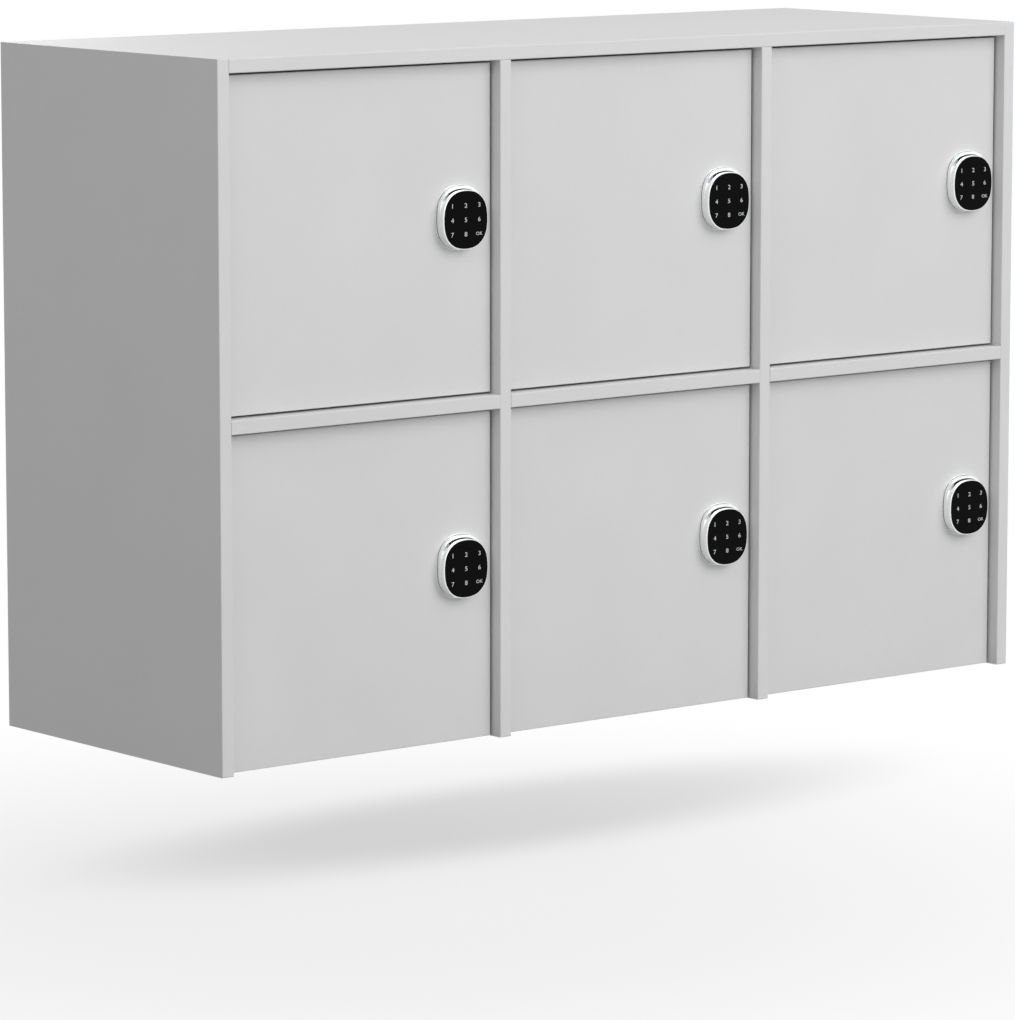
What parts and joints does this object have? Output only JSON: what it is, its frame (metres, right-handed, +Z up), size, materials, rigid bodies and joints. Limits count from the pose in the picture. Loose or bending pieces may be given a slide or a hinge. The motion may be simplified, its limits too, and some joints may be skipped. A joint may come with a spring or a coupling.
{
  "type": "locker top unit",
  "caption": "Board locker unit for standing on a base unit, with rows of inset doors on concealed hinges and an oval keypad lock on each door.",
  "frame": {"origin": "middle of the footprint, on the surface that the unit stands on", "axes": "+X to the right along the front, +Y from the front to the back, +Z up"},
  "size_m": [1.2, 0.42, 0.793],
  "materials": {
    "laminated_board": "chipboard with a smooth pale grey melamine face and matching edge band",
    "back_board": "thin fibreboard, lacquered pale grey",
    "nickel_steel": "pressed steel, nickel plated",
    "silver_moulding": "die casting, satin silver white paint",
    "black_touch_glass": "glossy black touch panel with plain pale digits",
    "grey_moulding": "fine textured moulded plastic",
    "bolt_steel": "ground steel"
  },
  "bodies": {
    "carcass": {"side_panel_left": "laminated_board", "side_panel_right": "laminated_board", "divider_left": "laminated_board", "divider_right": "laminated_board", "top_panel": "laminated_board", "shelf_left": "laminated_board", "shelf_middle": "laminated_board", "shelf_right": "laminated_board", "back_panel": "back_board", "hinge_plates": "nickel_steel", "hinge_arms": "nickel_steel", "strike_plates": "nickel_steel"},
    "door_lower_left": {"door_lower_left": "laminated_board", "hinge_cups_lower_left": "nickel_steel", "hinge_pins_lower_left": "bolt_steel", "lock_housing_lower_left": "silver_moulding", "lock_keypad_lower_left": "black_touch_glass", "lock_case_lower_left": "grey_moulding", "battery_cover_lower_left": "grey_moulding"},
    "bolt_lower_left": {"lock_bolt_lower_left": "bolt_steel"},
    "door_lower_middle": {"door_lower_middle": "laminated_board", "hinge_cups_lower_middle": "nickel_steel", "hinge_pins_lower_middle": "bolt_steel", "lock_housing_lower_middle": "silver_moulding", "lock_keypad_lower_middle": "black_touch_glass", "lock_case_lower_middle": "grey_moulding", "battery_cover_lower_middle": "grey_moulding"},
    "bolt_lower_middle": {"lock_bolt_lower_middle": "bolt_steel"},
    "door_lower_right": {"door_lower_right": "laminated_board", "hinge_cups_lower_right": "nickel_steel", "hinge_pins_lower_right": "bolt_steel", "lock_housing_lower_right": "silver_moulding", "lock_keypad_lower_right": "black_touch_glass", "lock_case_lower_right": "grey_moulding", "battery_cover_lower_right": "grey_moulding"},
    "bolt_lower_right": {"lock_bolt_lower_right": "bolt_steel"},
    "door_upper_left": {"door_upper_left": "laminated_board", "hinge_cups_upper_left": "nickel_steel", "hinge_pins_upper_left": "bolt_steel", "lock_housing_upper_left": "silver_moulding", "lock_keypad_upper_left": "black_touch_glass", "lock_case_upper_left": "grey_moulding", "battery_cover_upper_left": "grey_moulding"},
    "bolt_upper_left": {"lock_bolt_upper_left": "bolt_steel"},
    "door_upper_middle": {"door_upper_middle": "laminated_board", "hinge_cups_upper_middle": "nickel_steel", "hinge_pins_upper_middle": "bolt_steel", "lock_housing_upper_middle": "silver_moulding", "lock_keypad_upper_middle": "black_touch_glass", "lock_case_upper_middle": "grey_moulding", "battery_cover_upper_middle": "grey_moulding"},
    "bolt_upper_middle": {"lock_bolt_upper_middle": "bolt_steel"},
    "door_upper_right": {"door_upper_right": "laminated_board", "hinge_cups_upper_right": "nickel_steel", "hinge_pins_upper_right": "bolt_steel", "lock_housing_upper_right": "silver_moulding", "lock_keypad_upper_right": "black_touch_glass", "lock_case_upper_right": "grey_moulding", "battery_cover_upper_right": "grey_moulding"},
    "bolt_upper_right": {"lock_bolt_upper_right": "bolt_steel"}
  },
  "joints": [
    {"name": "door_swing_lower_left", "type": "hinge", "parent": "carcass", "child": "door_lower_left", "pos_m": [-0.564, -0.1865, 0.18925], "axis": [0, 0, -1], "range_deg": [0, 95]},
    {"name": "bolt_slide_lower_left", "type": "slide", "parent": "door_lower_left", "child": "bolt_lower_left", "axis": [1, 0, 0], "range_m": [0, 0.012]},
    {"name": "door_swing_lower_middle", "type": "hinge", "parent": "carcass", "child": "door_lower_middle", "pos_m": [-0.16933, -0.1865, 0.18925], "axis": [0, 0, -1], "range_deg": [0, 95]},
    {"name": "bolt_slide_lower_middle", "type": "slide", "parent": "door_lower_middle", "child": "bolt_lower_middle", "axis": [1, 0, 0], "range_m": [0, 0.012]},
    {"name": "door_swing_lower_right", "type": "hinge", "parent": "carcass", "child": "door_lower_right", "pos_m": [0.22533, -0.1865, 0.18925], "axis": [0, 0, -1], "range_deg": [0, 95]},
    {"name": "bolt_slide_lower_right", "type": "slide", "parent": "door_lower_right", "child": "bolt_lower_right", "axis": [1, 0, 0], "range_m": [0, 0.012]},
    {"name": "door_swing_upper_left", "type": "hinge", "parent": "carcass", "child": "door_upper_left", "pos_m": [-0.564, -0.1865, 0.5865], "axis": [0, 0, -1], "range_deg": [0, 95]},
    {"name": "bolt_slide_upper_left", "type": "slide", "parent": "door_upper_left", "child": "bolt_upper_left", "axis": [1, 0, 0], "range_m": [0, 0.012]},
    {"name": "door_swing_upper_middle", "type": "hinge", "parent": "carcass", "child": "door_upper_middle", "pos_m": [-0.16933, -0.1865, 0.5865], "axis": [0, 0, -1], "range_deg": [0, 95]},
    {"name": "bolt_slide_upper_middle", "type": "slide", "parent": "door_upper_middle", "child": "bolt_upper_middle", "axis": [1, 0, 0], "range_m": [0, 0.012]},
    {"name": "door_swing_upper_right", "type": "hinge", "parent": "carcass", "child": "door_upper_right", "pos_m": [0.22533, -0.1865, 0.5865], "axis": [0, 0, -1], "range_deg": [0, 95]},
    {"name": "bolt_slide_upper_right", "type": "slide", "parent": "door_upper_right", "child": "bolt_upper_right", "axis": [1, 0, 0], "range_m": [0, 0.012]}
  ]
}
